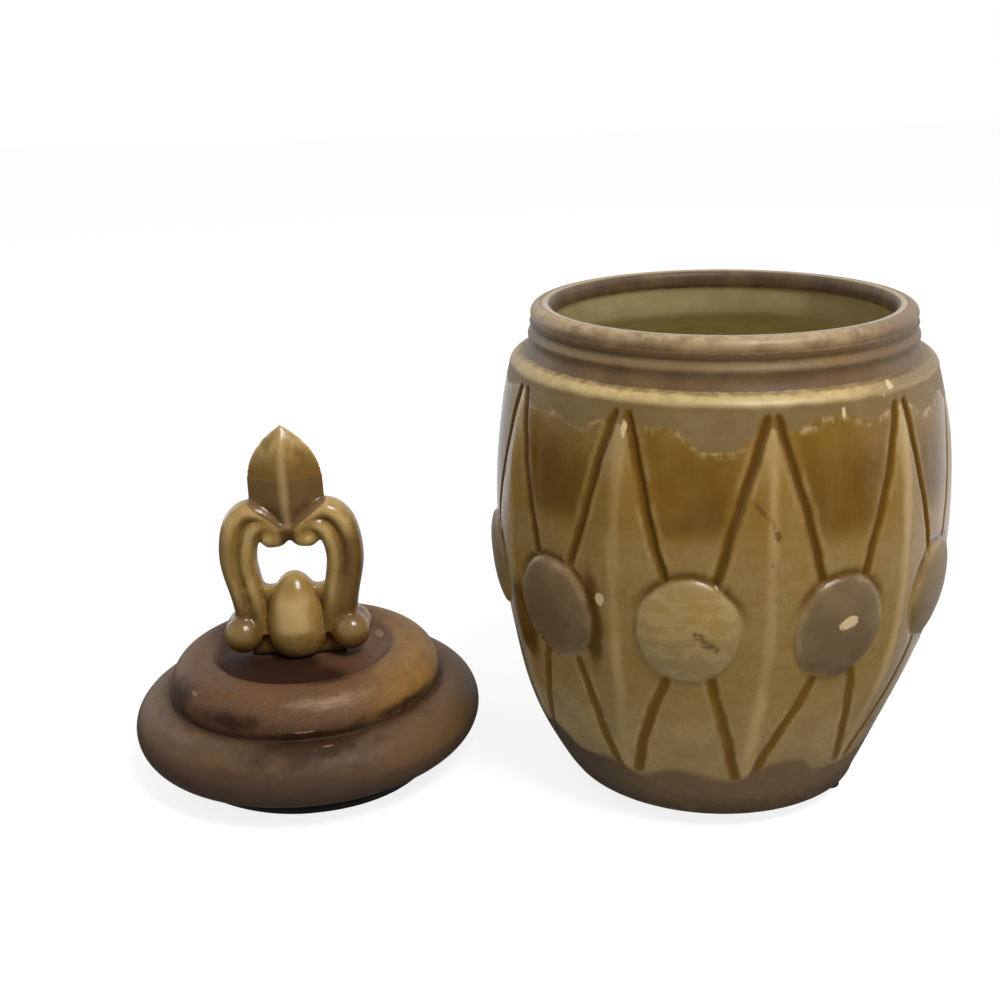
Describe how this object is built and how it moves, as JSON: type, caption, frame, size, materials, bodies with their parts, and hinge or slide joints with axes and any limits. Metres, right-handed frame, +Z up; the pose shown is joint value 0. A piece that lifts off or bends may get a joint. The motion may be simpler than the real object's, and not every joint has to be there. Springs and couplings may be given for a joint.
{
  "type": "lidded ceramic vase",
  "caption": "Barrel-shaped ceramic jar with round bosses and hourglass grooves, and a lift-off tiered lid with a pierced finial.",
  "frame": {"origin": "on the table, under the middle of the box around the jar and the lid that stands beside it", "axes": "+X from the lid to the jar, +Y away from the viewer, +Z up along the axis of the jar"},
  "size_m": [0.3648, 0.1958, 0.214],
  "materials": {
    "honey_glaze": "gloss",
    "brown_stain": "satin",
    "amber_glaze": "gloss",
    "dark_foot": "matte"
  },
  "bodies": {
    "jar": {"jar_body": "honey_glaze", "foot_front_right": "dark_foot", "foot_back": "dark_foot", "foot_front_left": "dark_foot"},
    "lid": {"lid_shell": "brown_stain", "finial": "amber_glaze"}
  },
  "joints": [
    {"name": "lid_lift", "type": "slide", "parent": "jar", "child": "lid", "axis": [0, 0, 1], "range_m": [0, 0.24]}
  ]
}
